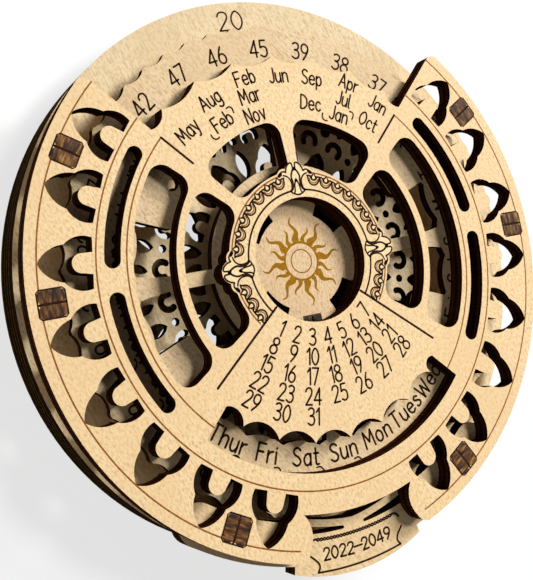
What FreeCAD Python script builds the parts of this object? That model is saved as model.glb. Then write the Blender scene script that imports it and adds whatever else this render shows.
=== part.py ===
import FreeCAD, Part
import math
import os

# A perpetual desk calendar, laser cut from plywood and pressed together.
# The disc lies on its back: +Z points out of the face, +Y towards the top of
# the face, and the origin is the centre of the back on the table. All sizes
# are millimetres. Angles on the face are degrees clockwise from the top.

# Sheet and stack
ply = 3.0
front_ply_count = 2
gap_ply_count = 3
back_ply_count = 5
running_gap = 0.4
wheel_lift = 0.1
axle_clearance = 0.1

# Face disc, from the rim inwards
face_radius = 90.0
rim_border = 3.6
heart_length = 15.9
slot_web = 3.3
slot_width = 4.9
window_web = 3.7
web_width = 2.4
web_place_share = 0.4813
top_window_share = 0.5427
window_corner = 4.6
corner_limit_share = 0.35
rim_corner = 3.0

# Face disc, from the centre outwards
well_radius = 19.6
hub_band = 8.7
fleur_rise = 3.0
fleur_shoulder_rise = 0.9
fleur_half_angle = 6.5
fleur_curl_rise = 1.0
fleur_curl_angle = 10.0
fleur_end_angle = 13.0
top_spoke_half_angle = 3.2
top_window_end_angle = 44.5
side_window_start_angle = 51.2
side_window_end_angle = 123.2
slot_gap_start_angle = 84.0
slot_gap_end_angle = 90.0

# Quarter and half of a turn on the face, which are the side and the bottom
side_angle = 90.0
bottom_angle = 180.0
full_angle = 360.0

# Calendar columns: seven, one for each day of the week
column_count = 7
years_on_wheel = 28
column_pitch_angle = full_angle / years_on_wheel
window_half_angle = 45.0
year_cusp_inset = 24.3
year_scallop_depth = 2.4
year_end_rise = 0.8
weekday_inset = 25.4
weekday_height = 8.8
weekday_scallop_depth = 3.4
weekday_end_rise = 1.0
weekday_cusp_shift_angle = -1.5

# Heart windows near the rim, each with a tongue standing up from its base
heart_first_angle = 52.5
heart_pitch_angle = 15.0
heart_count_each_side = 8
heart_base_half = 7.2
heart_bulge_half = 7.7
heart_bulge_height = 3.2
heart_waist_half = 5.3
heart_waist_height = 8.2
heart_shoulder_half = 4.1
heart_shoulder_height = 12.0
tongue_half = 3.1
tongue_neck_half = 2.75
tongue_neck_height = 3.8
tongue_length = 6.0

# Notch at the bottom of the face, over the click arms
notch_depth = 13.7
notch_corner_angle = 14.9
notch_waist_angle = 12.7
notch_waist_depth = 8.4
notch_point_angle = 13.2
notch_point_depth = 3.6
notch_lip_angle = 14.0
notch_lip_depth = 1.2
notch_rim_angle = 15.4

# Posts: two plies side by side, with a tenon through the face and the back
post_angles = (60.0, 90.0, 150.0, -60.0, -90.0, -150.0)
post_names = ("right_upper", "right_middle", "right_lower", "left_upper", "left_middle", "left_lower")
tag_post_angle = 150.0
post_inset = 7.4
tenon_width = 6.8
tenon_clearance = 0.15
post_split = 0.5
post_inner_shoulder = 0.6
post_outer_shoulder = 1.6

# Calendar wheel
wheel_post_gap = 0.7
wheel_tooth_count = 56
rim_scallop_depth = 1.3
cusp_half_angle = 0.4
ring_width = 22.6
ring_wave_depth = 1.7
hub_ring_width = 7.6
spoke_half_width = 2.2
spoke_root_half_width = 4.3
spoke_flare_length = 12.0
spoke_angles = (0.0, 90.0, 180.0, 270.0)
tab_length = 12.6
tab_start_angle = 45.0
tab_end_angle = 69.5
tab_corner = 4.0
grip_hole_angle = 53.0
grip_hole_inset = 4.3
grip_hole_half_width = 2.45
grip_hole_half_height = 1.7

# Hub: sun disc on two risers
axle_overlap = 4.0
riser_ledge = 3.7
sun_slot_count = 4
sun_slot_first_angle = 45.0
sun_slot_inner_radius = 15.6
sun_slot_outer_radius = 19.4
sun_slot_half_angle = 17.0
key_inset = 2.3
key_width = 4.4

# Back drum
back_inset = 0.5
drum_ring_width = 33.5
core_radius = 25.0
filigree_sector_count = 12
filigree_inner_radius = 30.5
arch_length = 10.2
dot_centre_radius = 48.8
dot_radius = 1.9
curl_centre_radius = 43.6
curl_centre_across = 5.0
curl_inner_radius = 1.3
curl_outer_radius = 3.4
curl_start_angle = -125.0
curl_end_angle = 155.0
side_leaf_inner_radius = 48.6
side_leaf_outer_radius = 54.5
side_leaf_half_width = 1.4
side_leaf_angle = 6.0
side_leaf_lean_angle = 1.8
root_leaf_inner_radius = 30.5
root_leaf_outer_radius = 40.6
root_leaf_half_width = 2.3
bead_centre_radius = 43.8
bead_radius = 1.3
tip_leaf_inner_radius = 46.8
tip_leaf_outer_radius = 54.8
tip_leaf_half_width = 2.2
petal_count = 6
petal_inner_radius = 26.8
petal_outer_radius = 54.5
petal_half_width = 10.0

# Tag with its click arms, two plies behind the face
tag_reach = 5.8
tag_corner_reach = 4.0
tag_corner_angle = 14.3
tag_wing_reach = 1.6
tag_wing_angle = 40.4
tag_wing_clearance = 1.3
nib_clearance = 0.25
arm_crown_rise = 1.85
arm_middle_rise = 1.0
arm_middle_angle = 6.0
nib_angle = 11.4
arm_tip_angle = 13.2
arm_tip_thickness = 2.2
arm_slot_width = 1.0
arm_slot_outer_rise = 4.6
stem_half_angle = 2.5
arm_bay_angle = 16.2

# Worked out from the sizes above
back_top = back_ply_count * ply
face_bottom = back_top + gap_ply_count * ply + running_gap
face_top = face_bottom + front_ply_count * ply
riser_ply_count = gap_ply_count - 1
hub_top = back_top + riser_ply_count * ply
wheel_bottom = hub_top + wheel_lift
tag_bottom = face_bottom - front_ply_count * ply
back_radius = face_radius - back_inset
drum_ring_inner_radius = back_radius - drum_ring_width
heart_base_radius = face_radius - rim_border - heart_length
slot_outer_radius = heart_base_radius - slot_web
slot_inner_radius = slot_outer_radius - slot_width
window_outer_radius = slot_inner_radius - window_web
window_inner_radius = well_radius + hub_band
window_span = window_outer_radius - window_inner_radius
web_inner_radius = window_inner_radius + web_place_share * window_span
web_outer_radius = web_inner_radius + web_width
top_window_radius = window_inner_radius + top_window_share * window_span
year_cusp_radius = face_radius - year_cusp_inset
year_valley_radius = year_cusp_radius - year_scallop_depth
weekday_outer_radius = face_radius - weekday_inset
weekday_cusp_radius = weekday_outer_radius - weekday_height
weekday_valley_radius = weekday_cusp_radius - weekday_scallop_depth
post_radius = face_radius - post_inset
post_inner_radius = post_radius - tenon_width / 2 - post_inner_shoulder
wheel_radius = post_inner_radius - wheel_post_gap
ring_inner_radius = wheel_radius - ring_width
axle_radius = well_radius + axle_overlap
bore_radius = axle_radius + axle_clearance
hub_ring_radius = bore_radius + hub_ring_width
riser_radius = axle_radius + riser_ledge
key_radius = well_radius - key_inset + key_width / 2
nib_radius = wheel_radius + nib_clearance


def at(radius, angle):
    """Point on the face: x = radius sin(angle), y = radius cos(angle)."""
    turn = math.radians(angle)
    return FreeCAD.Vector(radius * math.sin(turn), radius * math.cos(turn), 0)


def beside(angle, reach, across):
    """Point at a distance along the radius at this angle and a distance clockwise from it."""
    turn = math.radians(angle)
    out = FreeCAD.Vector(math.sin(turn), math.cos(turn), 0)
    side = FreeCAD.Vector(math.cos(turn), -math.sin(turn), 0)
    return out * reach + side * across


def span_angle(length, radius):
    """Angle in degrees that a short length takes up at this radius."""
    return math.degrees(length / radius)


def line(start, end):
    return Part.LineSegment(start, end).toShape()


def bow(start, middle, end):
    return Part.Arc(start, middle, end).toShape()


def rim_arc(radius, start, end):
    """Arc around the centre of the face."""
    return bow(at(radius, start), at(radius, (start + end) / 2), at(radius, end))


def circle(centre, radius):
    return Part.Wire([Part.makeCircle(radius, centre)])


def disc(radius):
    return circle(at(0, 0), radius)


def polygon(points):
    return Part.makePolygon(points + points[:1])


def plate(outline, holes, bottom):
    """One ply cut to an outline with holes, standing on the height given."""
    face = Part.makeFace([outline] + holes, "Part::FaceMakerBullseye")
    solid = face.extrude(FreeCAD.Vector(0, 0, ply)).Solids[0]
    solid.translate(FreeCAD.Vector(0, 0, bottom))
    return solid


def rounded(outline, corners, radius):
    """The outline with the corners nearest to the given points rounded off."""
    block = Part.Face(outline).extrude(FreeCAD.Vector(0, 0, ply))
    uprights = [edge for edge in block.Edges if edge.BoundBox.ZLength > ply / 2]
    chosen = []
    for corner in corners:
        chosen.append(min(uprights, key=lambda edge: distance_in_plan(edge, corner)))
    block = block.makeFillet(radius, chosen)
    base = min(block.Faces, key=lambda face: face.CenterOfMass.z)
    return base.OuterWire


def distance_in_plan(edge, point):
    here = edge.CenterOfMass
    return math.hypot(here.x - point.x, here.y - point.y)


def scallops(cusp_radius, valley_radius, end_radius, middle, shift):
    """Scalloped edge over the seven columns, with part of a scallop at each end.

    The cusps stand at the column centres, turned by the shift, and the edge
    runs from one side of the window to the other around the middle angle."""
    first = middle + shift - (column_count - 1) / 2 * column_pitch_angle
    cusps = [first + index * column_pitch_angle for index in range(column_count)]
    start = middle - window_half_angle
    end = middle + window_half_angle
    stops = [(end_radius, start)] + [(cusp_radius, cusp) for cusp in cusps] + [(end_radius, end)]
    edges = []
    for (radius, angle), (next_radius, next_angle) in zip(stops, stops[1:]):
        dip = at(valley_radius, (angle + next_angle) / 2)
        edges.append(bow(at(radius, angle), dip, at(next_radius, next_angle)))
    return edges


def sector(inner, outer, start, end, corner):
    """Window between two radii and two angles, with rounded corners that fit its height."""
    corners = [at(outer, start), at(outer, end), at(inner, end), at(inner, start)]
    edges = [
        rim_arc(outer, start, end),
        line(corners[1], corners[2]),
        rim_arc(inner, end, start),
        line(corners[3], corners[0]),
    ]
    return rounded(Part.Wire(edges), corners, min(corner, corner_limit_share * (outer - inner)))


def curved_slot(inner, outer, start, end):
    """Slot around the centre with round ends that reach the two angles."""
    middle = (inner + outer) / 2
    end_angle = span_angle((outer - inner) / 2, middle)
    return Part.Wire([
        rim_arc(outer, start + end_angle, end - end_angle),
        bow(at(outer, end - end_angle), at(middle, end), at(inner, end - end_angle)),
        rim_arc(inner, end - end_angle, start + end_angle),
        bow(at(inner, start + end_angle), at(middle, start), at(outer, start + end_angle)),
    ])


def heart(angle, base, scale):
    """Pointed window with two lobes on each side and a rounded tongue in it."""
    def spot(height, across):
        return beside(angle, base + height * scale, across * scale)

    def half(side):
        return [
            line(spot(0, side * tongue_half), spot(0, side * heart_base_half)),
            bow(spot(0, side * heart_base_half), spot(heart_bulge_height, side * heart_bulge_half),
                spot(heart_waist_height, side * heart_waist_half)),
            bow(spot(heart_waist_height, side * heart_waist_half),
                spot(heart_shoulder_height, side * heart_shoulder_half), spot(heart_length, 0)),
            line(spot(0, side * tongue_half), spot(tongue_neck_height, side * tongue_neck_half)),
        ]

    crown = bow(spot(tongue_neck_height, tongue_neck_half), spot(tongue_length, 0),
                spot(tongue_neck_height, -tongue_neck_half))
    return Part.Wire(Part.__sortEdges__(half(1) + half(-1) + [crown]))


def leaf(inner, inner_angle, outer, outer_angle, half_width):
    """Leaf-shaped hole between two points, made of two bows."""
    start = at(inner, inner_angle)
    end = at(outer, outer_angle)
    middle = (start + end) * 0.5
    across = (end - start).normalize().cross(FreeCAD.Vector(0, 0, 1)) * half_width
    return Part.Wire([bow(start, middle + across, end), bow(end, middle - across, start)])


def curl(angle, side):
    """C-shaped slot beside a radius, with its opening towards the middle of the face."""
    start, end = sorted((side * curl_start_angle, side * curl_end_angle))
    slot = curved_slot(curl_inner_radius, curl_outer_radius, start, end)
    slot.rotate(at(0, 0), FreeCAD.Vector(0, 0, 1), -angle)
    slot.translate(beside(angle, curl_centre_radius, side * curl_centre_across))
    return slot


def block_hole(angle, centre, along, across):
    """Rectangular hole centred on a radius."""
    return polygon([
        beside(angle, centre - along / 2, -across / 2),
        beside(angle, centre + along / 2, -across / 2),
        beside(angle, centre + along / 2, across / 2),
        beside(angle, centre - along / 2, across / 2),
    ])


def post_hole(angle):
    width = 2 * ply + post_split + 2 * tenon_clearance
    return block_hole(angle, post_radius, tenon_width + 2 * tenon_clearance, width)


def key_hole():
    width = 2 * ply + post_split + 2 * tenon_clearance
    return block_hole(bottom_angle, key_radius, key_width + 2 * tenon_clearance, width)


def face_outline():
    """Rim of the face with the year window at the top and the notch at the bottom."""
    bottom = bottom_angle
    side = window_half_angle
    year_end = year_valley_radius + year_end_rise
    notch_radius = face_radius - notch_depth

    def notch(angle, depth, direction):
        return at(face_radius - depth, bottom + direction * angle)

    def notch_side(direction):
        rim = notch(notch_rim_angle, 0, direction)
        point = notch(notch_point_angle, notch_point_depth, direction)
        corner = notch(notch_corner_angle, notch_depth, direction)
        return [
            bow(rim, notch(notch_lip_angle, notch_lip_depth, direction), point),
            bow(point, notch(notch_waist_angle, notch_waist_depth, direction), corner),
        ]

    edges = scallops(year_cusp_radius, year_valley_radius, year_end, 0, 0)
    edges += [line(at(year_end, side), at(face_radius, side))]
    edges += [rim_arc(face_radius, side, bottom - notch_rim_angle)]
    edges += notch_side(-1)
    edges += [rim_arc(notch_radius, bottom - notch_corner_angle, bottom + notch_corner_angle)]
    edges += notch_side(1)
    edges += [rim_arc(face_radius, bottom + notch_rim_angle, 2 * bottom - side)]
    edges += [line(at(face_radius, -side), at(year_end, -side))]
    outline = Part.Wire(Part.__sortEdges__(edges))
    return rounded(outline, [at(face_radius, side), at(face_radius, -side)], rim_corner)


def weekday_window():
    bottom = bottom_angle
    start = bottom - window_half_angle
    end = bottom + window_half_angle
    end_radius = weekday_valley_radius + weekday_end_rise
    cusp = weekday_cusp_radius
    valley = weekday_valley_radius
    edges = scallops(cusp, valley, end_radius, bottom, weekday_cusp_shift_angle)
    edges += [line(at(end_radius, end), at(weekday_outer_radius, end))]
    edges += [rim_arc(weekday_outer_radius, end, start)]
    edges += [line(at(weekday_outer_radius, start), at(end_radius, start))]
    return Part.Wire(Part.__sortEdges__(edges))


def lobe_point(inner, fleur_angle, turn):
    """Point on the round lobe of a carved fleur, which falls off as the square of the turn."""
    fall = (fleur_rise - fleur_shoulder_rise) * (turn / fleur_half_angle) ** 2
    return at(inner + fleur_rise - fall, fleur_angle + turn)


def fleur_curl(inner, fleur_angle, side):
    """Low curl beside the lobe, down to the plain edge of the window."""
    return bow(
        lobe_point(inner, fleur_angle, side * fleur_half_angle),
        at(inner + fleur_curl_rise, fleur_angle + side * fleur_curl_angle),
        at(inner, fleur_angle + side * fleur_end_angle))


def fleur_window(inner, outer, start, end, fleur_angle):
    """Inner window whose base steps out around the carved fleur at one angle."""
    whole = start < fleur_angle
    first = -fleur_half_angle if whole else start - fleur_angle
    base = [
        bow(lobe_point(inner, fleur_angle, first),
            lobe_point(inner, fleur_angle, (first + fleur_half_angle) / 2),
            lobe_point(inner, fleur_angle, fleur_half_angle)),
        fleur_curl(inner, fleur_angle, 1),
        rim_arc(inner, fleur_angle + fleur_end_angle, end),
    ]
    corners = [at(outer, start), at(outer, end), at(inner, end)]
    foot = lobe_point(inner, fleur_angle, first)
    if whole:
        base += [fleur_curl(inner, fleur_angle, -1), rim_arc(inner, start, fleur_angle - fleur_end_angle)]
        foot = at(inner, start)
        corners.append(foot)
    sides = [line(at(inner, end), at(outer, end)), line(at(outer, start), foot)]
    edges = base + sides + [rim_arc(outer, end, start)]
    corner = min(window_corner, corner_limit_share * (outer - inner))
    return rounded(Part.Wire(Part.__sortEdges__(edges)), corners, corner)


def mirrored(wire):
    """The same outline on the left half of the face."""
    return wire.mirror(at(0, 0), FreeCAD.Vector(1, 0, 0)).Wires[0]


def face_holes():
    side_start = side_window_start_angle
    side_end = side_window_end_angle
    right = [
        fleur_window(window_inner_radius, top_window_radius, top_spoke_half_angle, top_window_end_angle, 0),
        fleur_window(window_inner_radius, web_inner_radius, side_start, side_end, side_angle),
        sector(web_outer_radius, window_outer_radius, side_start, side_end, window_corner),
        curved_slot(slot_inner_radius, slot_outer_radius, side_start, slot_gap_start_angle),
        curved_slot(slot_inner_radius, slot_outer_radius, slot_gap_end_angle, side_end),
    ]
    for index in range(heart_count_each_side):
        right.append(heart(heart_first_angle + index * heart_pitch_angle, heart_base_radius, 1))
    holes = right + [mirrored(wire) for wire in right]
    holes += [post_hole(angle) for angle in post_angles]
    holes += [disc(well_radius), weekday_window()]
    return holes


def face_ply(bottom):
    return plate(face_outline(), face_holes(), bottom)


def wheel_outline():
    """Rim of the wheel: shallow hollows between narrow rounded cusps."""
    pitch = full_angle / wheel_tooth_count
    valley = wheel_radius - rim_scallop_depth
    edges = []
    for index in range(wheel_tooth_count):
        cusp = index * pitch
        start = cusp + cusp_half_angle
        end = cusp + pitch - cusp_half_angle
        hollow = at(valley, cusp + pitch / 2)
        edges.append(rim_arc(wheel_radius, cusp - cusp_half_angle, start))
        edges.append(bow(at(wheel_radius, start), hollow, at(wheel_radius, end)))
    return Part.Wire(edges)


def wheel_ring_edge():
    """Wavy inside edge of the number ring, with one wave for each year."""
    pitch = full_angle / years_on_wheel
    notch = ring_inner_radius + ring_wave_depth
    edges = []
    for index in range(years_on_wheel):
        middle = index * pitch
        crest = at(ring_inner_radius, middle)
        edges.append(bow(at(notch, middle - pitch / 2), crest, at(notch, middle + pitch / 2)))
    return Part.Wire(edges)


def wheel_spoke(angle):
    """Spoke that runs straight out of the hub ring and flares into the number ring."""
    root = bore_radius + hub_ring_width / 2
    tip = ring_inner_radius + ring_wave_depth * 2
    flare = ring_inner_radius - spoke_flare_length
    waist = (spoke_half_width * 3 + spoke_root_half_width) / 4

    def spot(reach, across):
        return beside(angle, reach, across)

    outline = []
    for side in (1, -1):
        start = spot(flare, side * spoke_half_width)
        outline.append(line(spot(root, side * spoke_half_width), start))
        end = spot(tip, side * spoke_root_half_width)
        outline.append(bow(start, spot((flare + tip) / 2, side * waist), end))
    outline.append(line(spot(root, spoke_half_width), spot(root, -spoke_half_width)))
    outline.append(line(spot(tip, spoke_root_half_width), spot(tip, -spoke_root_half_width)))
    return Part.Wire(Part.__sortEdges__(outline))


def grip_hole(angle):
    """Oval hole in a finger tab, wider than it is tall."""
    centre = ring_inner_radius - tab_length + grip_hole_inset + grip_hole_half_height
    ends = [beside(angle, centre, side * grip_hole_half_width) for side in (1, -1)]
    over = beside(angle, centre + grip_hole_half_height, 0)
    under = beside(angle, centre - grip_hole_half_height, 0)
    return Part.Wire([bow(ends[0], over, ends[1]), bow(ends[1], under, ends[0])])


def wheel_tab(start, end, hole_angle):
    """Finger tab that stands inwards from the number ring."""
    inner = ring_inner_radius - tab_length
    corner = min(tab_corner, corner_limit_share * tab_length)
    outer = ring_inner_radius + ring_wave_depth * 2
    corners = [at(inner, start), at(inner, end)]
    edges = [
        rim_arc(inner, start, end),
        line(corners[1], at(outer, end)),
        rim_arc(outer, end, start),
        line(at(outer, start), corners[0]),
    ]
    outline = rounded(Part.Wire(edges), corners, corner)
    return plate(outline, [grip_hole(hole_angle)], 0)


def calendar_wheel():
    """Number wheel: ring, hub ring, four spokes and four finger tabs in one ply."""
    wheel = plate(wheel_outline(), [wheel_ring_edge()], 0)
    limbs = [plate(disc(hub_ring_radius), [disc(bore_radius)], 0)]
    limbs += [plate(wheel_spoke(angle), [], 0) for angle in spoke_angles]
    for side in (1, -1):
        upper = sorted((side * tab_start_angle, side * tab_end_angle))
        lower = sorted((side * (bottom_angle - tab_start_angle), side * (bottom_angle - tab_end_angle)))
        limbs.append(wheel_tab(upper[0], upper[1], side * grip_hole_angle))
        limbs.append(wheel_tab(lower[0], lower[1], side * (bottom_angle - grip_hole_angle)))
    wheel = wheel.fuse(limbs).removeSplitter().Solids[0]
    wheel.translate(FreeCAD.Vector(0, 0, wheel_bottom))
    return wheel


def sun_slots():
    slots = []
    for index in range(sun_slot_count):
        middle = sun_slot_first_angle + index * full_angle / sun_slot_count
        start = middle - sun_slot_half_angle
        end = middle + sun_slot_half_angle
        slots.append(Part.Wire([
            rim_arc(sun_slot_outer_radius, start, end),
            line(at(sun_slot_outer_radius, end), at(sun_slot_inner_radius, end)),
            rim_arc(sun_slot_inner_radius, end, start),
            line(at(sun_slot_inner_radius, start), at(sun_slot_outer_radius, start)),
        ]))
    return slots


def hub_disc(radius, bottom):
    return plate(disc(radius), sun_slots() + [key_hole()], bottom)


def core_disc(bottom):
    return plate(disc(core_radius), [key_hole()], bottom)


def drum_ring(bottom):
    holes = [disc(drum_ring_inner_radius)] + [post_hole(angle) for angle in post_angles]
    return plate(disc(back_radius), holes, bottom)


def year_backdrop():
    """Upper sheet of the back: plain rim behind the years, filigree in the middle."""
    pitch = full_angle / filigree_sector_count
    holes = [post_hole(angle) for angle in post_angles] + [key_hole()]
    for index in range(filigree_sector_count):
        axis = index * pitch
        between = axis + pitch / 2
        holes.append(heart(axis, filigree_inner_radius, arch_length / heart_length))
        holes.append(circle(at(dot_centre_radius, axis), dot_radius))
        holes.append(leaf(
            root_leaf_inner_radius, between, root_leaf_outer_radius, between, root_leaf_half_width))
        holes.append(circle(at(bead_centre_radius, between), bead_radius))
        holes.append(leaf(
            tip_leaf_inner_radius, between, tip_leaf_outer_radius, between, tip_leaf_half_width))
        for side in (1, -1):
            holes.append(curl(axis, side))
            near = axis + side * side_leaf_angle
            far = near + side * side_leaf_lean_angle
            holes.append(leaf(
                side_leaf_inner_radius, near, side_leaf_outer_radius, far, side_leaf_half_width))
    return plate(disc(back_radius), holes, back_top - ply)


def back_panel():
    """Lowest sheet, with six large petals cut around the middle."""
    holes = [post_hole(angle) for angle in post_angles] + [key_hole()]
    for index in range(petal_count):
        axis = index * full_angle / petal_count
        holes.append(leaf(petal_inner_radius, axis, petal_outer_radius, axis, petal_half_width))
    return plate(disc(back_radius), holes, 0)


def tag_outline():
    """Label below the rim, wings behind the face and two thin click arms above the stem."""
    bottom = bottom_angle
    wing_outer = face_radius + tag_wing_reach
    wing_inner = wheel_radius + tag_wing_clearance
    wing_middle = (wing_outer + wing_inner) / 2
    wing_turn = tag_wing_angle - span_angle((wing_outer - wing_inner) / 2, wing_middle)
    notch_half = ply + post_split / 2 + tenon_clearance
    notch_outer = post_radius + tenon_width / 2 + tenon_clearance
    slot_outer = nib_radius + arm_slot_outer_rise
    slot_inner = slot_outer - arm_slot_width
    slot_round = span_angle(arm_slot_width / 2, slot_outer)
    tip_outer = nib_radius + arm_tip_thickness
    tip_middle = (tip_outer + nib_radius) / 2
    tip_turn = arm_tip_angle - span_angle(arm_tip_thickness / 2, tip_middle)
    post_side = bottom - tag_post_angle

    def place(radius, angle, side):
        return at(radius, bottom + side * angle)

    def around(radius, start, end, side):
        return rim_arc(radius, bottom + side * start, bottom + side * end)

    def half(side):
        post_near = beside(bottom + side * post_side, notch_outer, -side * notch_half)
        post_far = beside(bottom + side * post_side, notch_outer, side * notch_half)
        notch_turn = math.degrees(math.asin(notch_half / wing_inner))
        near = place(wing_inner, post_side - notch_turn, side)
        far = place(wing_inner, post_side + notch_turn, side)
        return [
            line(place(face_radius + tag_corner_reach, tag_corner_angle, side),
                 place(wing_outer, tag_corner_angle, side)),
            around(wing_outer, tag_corner_angle, wing_turn, side),
            bow(place(wing_outer, wing_turn, side), place(wing_middle, tag_wing_angle, side),
                place(wing_inner, wing_turn, side)),
            around(wing_inner, wing_turn, post_side + notch_turn, side),
            line(far, post_far),
            line(post_far, post_near),
            line(post_near, near),
            around(wing_inner, post_side - notch_turn, arm_bay_angle, side),
            line(place(wing_inner, arm_bay_angle, side), place(slot_outer, arm_bay_angle, side)),
            around(slot_outer, arm_bay_angle, stem_half_angle + slot_round, side),
            bow(place(slot_outer, stem_half_angle + slot_round, side),
                place((slot_outer + slot_inner) / 2, stem_half_angle, side),
                place(slot_inner, stem_half_angle + slot_round, side)),
            bow(place(slot_inner, stem_half_angle + slot_round, side),
                place((slot_inner + tip_outer) / 2, (stem_half_angle + tip_turn) / 2, side),
                place(tip_outer, tip_turn, side)),
            bow(place(tip_outer, tip_turn, side), place(tip_middle, arm_tip_angle, side),
                place(nib_radius, tip_turn, side)),
            around(nib_radius, tip_turn, nib_angle, side),
            bow(place(nib_radius, nib_angle, side),
                place(nib_radius + arm_middle_rise, arm_middle_angle, side),
                place(nib_radius + arm_crown_rise, 0, side)),
        ]

    label = bow(place(face_radius + tag_corner_reach, tag_corner_angle, 1),
                place(face_radius + tag_reach, 0, 1),
                place(face_radius + tag_corner_reach, tag_corner_angle, -1))
    return Part.Wire(Part.__sortEdges__(half(1) + half(-1) + [label]))


def tag_ply(bottom):
    return plate(tag_outline(), [], bottom)


def post_half(angle, side):
    """One of the two plies of a post, cut flat and stood on edge along the radius."""
    shoulder = tag_bottom if abs(angle) == tag_post_angle else face_bottom
    inner = post_radius - tenon_width / 2
    outer = post_radius + tenon_width / 2
    near = post_split / 2 if side > 0 else -post_split / 2 - ply
    profile = [
        (inner, 0),
        (outer, 0),
        (outer, back_top),
        (outer + post_outer_shoulder, back_top),
        (outer + post_outer_shoulder, shoulder),
        (outer, shoulder),
        (outer, face_top),
        (inner, face_top),
        (inner, shoulder),
        (inner - post_inner_shoulder, shoulder),
        (inner - post_inner_shoulder, back_top),
        (inner, back_top),
    ]
    points = [beside(angle, reach, near) + FreeCAD.Vector(0, 0, height) for reach, height in profile]
    thickness = beside(angle, 0, ply)
    return Part.Face(polygon(points)).extrude(thickness)


def key_half(side):
    """One of the two plies of the key that locks the hub stack to the back."""
    inner = key_radius - key_width / 2
    near = post_split / 2 if side > 0 else -post_split / 2 - ply
    outer = inner + key_width
    top = hub_top + ply
    corners = [(inner, 0), (outer, 0), (outer, top), (inner, top)]
    points = [beside(bottom_angle, reach, near) + FreeCAD.Vector(0, 0, height) for reach, height in corners]
    return Part.Face(polygon(points)).extrude(beside(bottom_angle, 0, ply))


def all_parts():
    parts = {
        "back_panel": back_panel(),
        "drum_ring_lower": drum_ring(ply),
        "drum_ring_middle": drum_ring(2 * ply),
        "drum_ring_upper": drum_ring(3 * ply),
        "core_disc_lower": core_disc(ply),
        "core_disc_middle": core_disc(2 * ply),
        "core_disc_upper": core_disc(3 * ply),
        "year_backdrop": year_backdrop(),
        "hub_riser_lower": hub_disc(riser_radius, back_top),
        "hub_riser_upper": hub_disc(riser_radius, back_top + ply),
        "sun_disc": hub_disc(axle_radius, hub_top),
        "hub_key_left": key_half(1),
        "hub_key_right": key_half(-1),
        "calendar_wheel": calendar_wheel(),
        "tag_rear_ply": tag_ply(tag_bottom),
        "tag_front_ply": tag_ply(tag_bottom + ply),
        "face_backing": face_ply(face_bottom),
        "face_plate": face_ply(face_bottom + ply),
    }
    for angle, name in zip(post_angles, post_names):
        parts["post_" + name + "_a"] = post_half(angle, 1)
        parts["post_" + name + "_b"] = post_half(angle, -1)
    return parts


os.makedirs("parts", exist_ok=True)
for name, shape in all_parts().items():
    shape.exportStep("parts/" + name + ".step")
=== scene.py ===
import math

import bmesh
import bpy
import numpy as np
from mathutils import Matrix, Vector


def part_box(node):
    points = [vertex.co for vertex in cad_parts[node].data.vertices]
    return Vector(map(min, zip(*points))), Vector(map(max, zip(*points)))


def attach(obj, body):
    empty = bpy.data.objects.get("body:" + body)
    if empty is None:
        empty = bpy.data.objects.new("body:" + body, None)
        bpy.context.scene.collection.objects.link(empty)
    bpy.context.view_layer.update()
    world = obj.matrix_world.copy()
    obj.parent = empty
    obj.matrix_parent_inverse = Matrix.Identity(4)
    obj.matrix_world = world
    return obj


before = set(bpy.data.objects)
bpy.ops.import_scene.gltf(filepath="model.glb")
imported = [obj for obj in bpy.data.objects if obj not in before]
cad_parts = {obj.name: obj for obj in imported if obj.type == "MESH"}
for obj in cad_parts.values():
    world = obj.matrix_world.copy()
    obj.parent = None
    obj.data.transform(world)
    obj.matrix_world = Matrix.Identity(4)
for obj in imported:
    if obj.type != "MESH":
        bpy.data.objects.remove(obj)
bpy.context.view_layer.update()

# Camera. The photograph looks at the face from its left, and the picture's
# middle lies beside the point that the camera looks at, so the lens is shifted.
# The three rows are the camera's right, up and back directions at the face.
camera_right = (0.881227, -0.186759, 0.434236)
camera_up = (0.119098, 0.976727, 0.178383)
camera_back = (-0.457444, -0.105479, 0.882960)
camera_place = (-0.152126, -0.009144, 0.282502)
camera_lens = bpy.data.cameras.new("photo_camera")
camera_lens.sensor_fit = "HORIZONTAL"
camera_lens.sensor_width = 36.0
camera_lens.lens = 63.566
camera_lens.shift_x = 0.05328
camera_lens.shift_y = -0.16704
camera_lens.clip_start = 0.01
camera_lens.clip_end = 20.0
camera = bpy.data.objects.new("photo_camera", camera_lens)
axes = Matrix((camera_right, camera_up, camera_back)).transposed().to_4x4()
camera.matrix_world = Matrix.Translation(camera_place) @ axes
bpy.context.scene.collection.objects.link(camera)
bpy.context.scene.camera = camera

# Table. A wide white sheet under the calendar, which lies on its flat back.
# To the camera it looks evenly white, and it keeps the calendar's soft shadow.
mm = 0.001
table_half = 1500 * mm
table_drop = 0.05 * mm
table_white = (0.92, 0.92, 0.915, 1)
table_glow = 0.72


def shader_tree(name):
    """An empty node tree of a new material, with its output node."""
    material = bpy.data.materials.new(name)
    material.use_nodes = True
    tree = material.node_tree
    tree.nodes.clear()
    return material, tree, tree.nodes.new("ShaderNodeOutputMaterial")


def part_in(tree, kind, inputs=(), **settings):
    """A node of one kind, with its settings, and each input linked or set."""
    part = tree.nodes.new(kind)
    for name, value in settings.items():
        setattr(part, name, value)
    for name, value in dict(inputs).items():
        if isinstance(value, bpy.types.NodeSocket):
            tree.links.new(value, part.inputs[name])
        else:
            part.inputs[name].default_value = value
    return part


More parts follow.
